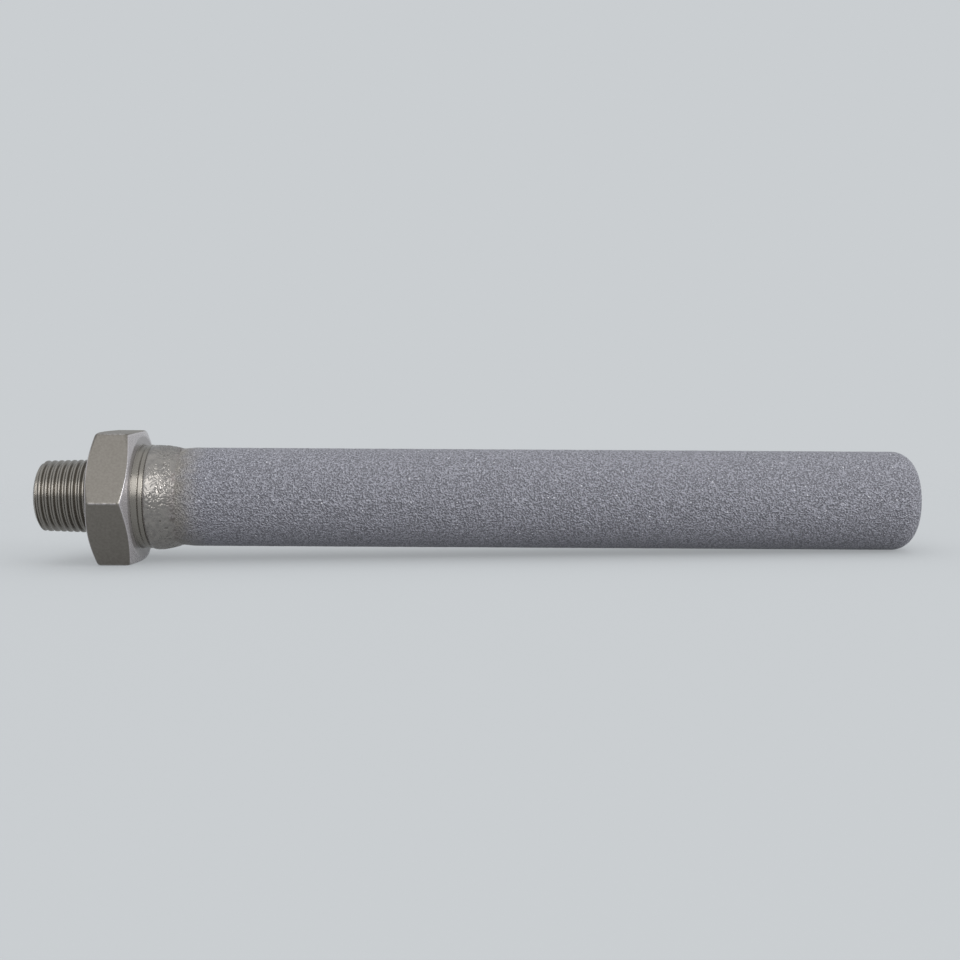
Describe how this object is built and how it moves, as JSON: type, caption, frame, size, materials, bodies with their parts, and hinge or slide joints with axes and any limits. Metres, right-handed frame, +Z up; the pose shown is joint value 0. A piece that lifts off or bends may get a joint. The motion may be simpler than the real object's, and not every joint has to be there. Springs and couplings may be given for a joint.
{
  "type": "sintered filter element",
  "caption": "Porous sintered metal filter tube with a closed rounded end, welded to a turned hexagon fitting that has a male taper pipe thread and a through bore.",
  "frame": {"origin": "on the axis, in the face of the hexagon that the thread stands on", "axes": "+X along the axis towards the closed end of the tube, +Z up, one flat of the hexagon facing down"},
  "size_m": [0.2436, 0.0416, 0.036],
  "materials": {
    "turned_metal": "fine turned and milled titanium, satin",
    "weld_metal": "bright rippled weld, straw coloured heat tint at its edge",
    "sintered_metal": "matte, granular, porous sintered titanium"
  },
  "bodies": {
    "root": {"threaded_fitting": "turned_metal", "weld_bead": "weld_metal", "sintered_tube": "sintered_metal"}
  },
  "joints": []
}
